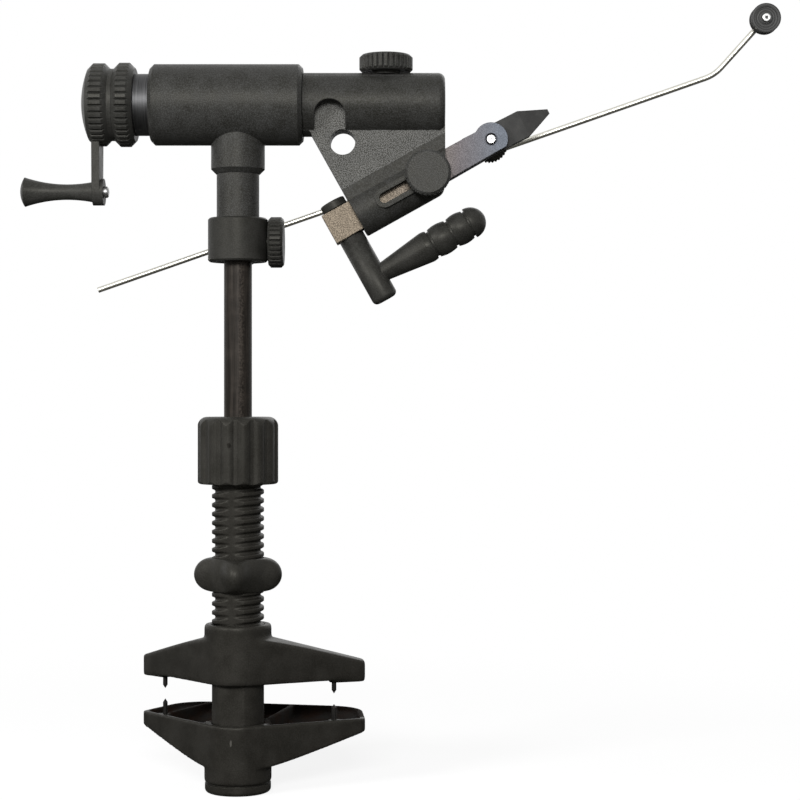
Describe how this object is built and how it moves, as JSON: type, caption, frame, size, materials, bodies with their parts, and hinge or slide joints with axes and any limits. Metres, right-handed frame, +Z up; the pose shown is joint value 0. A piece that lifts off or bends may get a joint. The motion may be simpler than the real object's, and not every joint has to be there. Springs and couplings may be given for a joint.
{
  "type": "fly tying vise",
  "caption": "Rotary fly tying vise: a table clamp with a threaded tube, a stem, a crank head with cam-operated jaws, and a thread rest on a bent wire.",
  "frame": {"origin": "centre of the foot's underside, on the axis of the stem", "axes": "+Z up along the stem, +X along the rotary axis towards the jaws, -Y towards the person who ties"},
  "size_m": [0.2738, 0.0657, 0.2838],
  "materials": {
    "black_plastic": "fine moulded grain",
    "wheel_plastic": "smooth",
    "dark_steel": "blackened, satin",
    "bush_steel": "turned, darkened",
    "bar_steel": "mottled sheet",
    "jaw_steel": "black oxide, matt",
    "wire_chrome": "polished",
    "spike_steel": "dark",
    "screw_steel": "bright"
  },
  "bodies": {
    "clamp_base": {"clamp_tube": "black_plastic", "foot_cap": "black_plastic", "lower_jaw": "black_plastic", "lower_spikes": "spike_steel"},
    "upper_clamp": {"upper_jaw": "black_plastic", "upper_spikes": "spike_steel"},
    "clamp_nut": {"clamp_nut": "black_plastic"},
    "collet_nut": {"collet_nut": "black_plastic"},
    "collet": {"collet": "black_plastic"},
    "stem": {"stem_rod": "dark_steel", "stem_sleeve": "black_plastic", "head_body": "black_plastic", "rear_bush": "bush_steel", "front_bush": "bush_steel"},
    "rest_collar": {"rest_collar": "black_plastic"},
    "collar_screw": {"collar_screw": "black_plastic"},
    "wire_clamp": {"wire_clamp_bolt": "screw_steel"},
    "wire_clamp_knob": {"wire_clamp_knob": "black_plastic"},
    "rest_arm": {"rest_wire": "wire_chrome", "wheel_rivet": "screw_steel"},
    "rest_wheel": {"rest_wheel": "wheel_plastic"},
    "rotor": {"main_shaft": "dark_steel", "crank_disc": "black_plastic", "handle_screw": "screw_steel", "jaw_holder": "black_plastic"},
    "drag_ring": {"drag_ring": "black_plastic"},
    "crank_handle": {"crank_handle": "black_plastic"},
    "head_screw": {"head_screw": "black_plastic"},
    "jaw_carriage": {"front_bar": "bar_steel", "front_jaw": "jaw_steel", "jaw_screw": "screw_steel"},
    "jaw_knob": {"jaw_knob": "black_plastic"},
    "rear_lever": {"rear_bar": "bar_steel", "rear_jaw": "jaw_steel"},
    "cam_lever": {"cam_lever": "black_plastic", "cam_cap": "black_plastic"},
    "adjust_knob": {"adjust_knob": "black_plastic"}
  },
  "joints": [
    {"name": "clamp_travel", "type": "slide", "parent": "clamp_base", "child": "upper_clamp", "axis": [0, 0, 1], "range_m": [-0.0033, 0.026]},
    {"name": "clamp_nut_turn", "type": "hinge", "parent": "upper_clamp", "child": "clamp_nut", "pos_m": [0, 0, 0.07725], "axis": [0, 0, 1], "range_deg": [-510, 2930]},
    {"name": "collet_nut_turn", "type": "hinge", "parent": "clamp_base", "child": "collet_nut", "pos_m": [0, 0, 0.122], "axis": [0, 0, 1], "range_deg": [0, 270]},
    {"name": "stem_swivel", "type": "hinge", "parent": "clamp_base", "child": "collet", "pos_m": [0, 0, 0.125], "axis": [0, 0, 1], "continuous": true},
    {"name": "stem_height", "type": "slide", "parent": "collet", "child": "stem", "axis": [0, 0, 1], "range_m": [-0.045, 0.03]},
    {"name": "rest_swing", "type": "hinge", "parent": "stem", "child": "rest_collar", "pos_m": [0, 0, 0.1972], "axis": [0, 0, 1], "range_deg": [0, 60]},
    {"name": "collar_screw_turn", "type": "hinge", "parent": "rest_collar", "child": "collar_screw", "pos_m": [0.011, 0, 0.1964], "axis": [1, 0, 0], "range_deg": [0, 360]},
    {"name": "wire_tilt", "type": "hinge", "parent": "rest_collar", "child": "wire_clamp", "pos_m": [0, 0.0152, 0.1984], "axis": [0, 1, 0], "range_deg": [-3, 25]},
    {"name": "wire_knob_turn", "type": "hinge", "parent": "wire_clamp", "child": "wire_clamp_knob", "pos_m": [0, 0.018, 0.1984], "axis": [0, 1, 0], "range_deg": [0, 360]},
    {"name": "wire_reach", "type": "slide", "parent": "wire_clamp", "child": "rest_arm", "axis": [0.9441, 0, 0.3297], "range_m": [-0.04, 0.03]},
    {"name": "wheel_spin", "type": "hinge", "parent": "rest_arm", "child": "rest_wheel", "pos_m": [0.19062, 0.0105, 0.27842], "axis": [0, 1, 0], "continuous": true},
    {"name": "head_rotation", "type": "hinge", "parent": "stem", "child": "rotor", "pos_m": [0, 0, 0.2456], "axis": [1, 0, 0], "range_deg": [-270, 0]},
    {"name": "drag_turn", "type": "hinge", "parent": "rotor", "child": "drag_ring", "pos_m": [-0.0402, 0, 0.2456], "axis": [1, 0, 0], "range_deg": [-45, 45]},
    {"name": "handle_spin", "type": "hinge", "parent": "rotor", "child": "crank_handle", "pos_m": [-0.065, 0, 0.2144], "axis": [1, 0, 0], "continuous": true},
    {"name": "head_screw_turn", "type": "hinge", "parent": "rotor", "child": "head_screw", "pos_m": [0.053, 0, 0.2573], "axis": [0, 0, 1], "range_deg": [0, 360]},
    {"name": "jaw_travel", "type": "slide", "parent": "rotor", "child": "jaw_carriage", "axis": [-0.8729, 0, -0.4879], "range_m": [0, 0.0095]},
    {"name": "jaw_knob_turn", "type": "hinge", "parent": "jaw_carriage", "child": "jaw_knob", "pos_m": [0.06788, -0.0089, 0.22016], "axis": [0, -1, 0], "range_deg": [0, 360]},
    {"name": "rear_jaw_open", "type": "hinge", "parent": "jaw_carriage", "child": "rear_lever", "pos_m": [0.0904, 0.00375, 0.23275], "axis": [-0.4879, 0, 0.8729], "range_deg": [0, 0.86]},
    {"name": "cam_turn", "type": "hinge", "parent": "jaw_carriage", "child": "cam_lever", "pos_m": [0.03776, 0, 0.20333], "axis": [0.4879, 0, -0.8729], "range_deg": [0, 90]},
    {"name": "adjust_turn", "type": "hinge", "parent": "jaw_carriage", "child": "adjust_knob", "pos_m": [0.0904, 0.00515, 0.23275], "axis": [0, 1, 0], "range_deg": [0, 360]}
  ],
  "couplings": [
    {"joint": "clamp_nut_turn", "follows": "clamp_travel", "rad_per_m": 1963.5},
    {"joint": "rear_jaw_open", "follows": "cam_turn", "ratio": 0.009556}
  ]
}
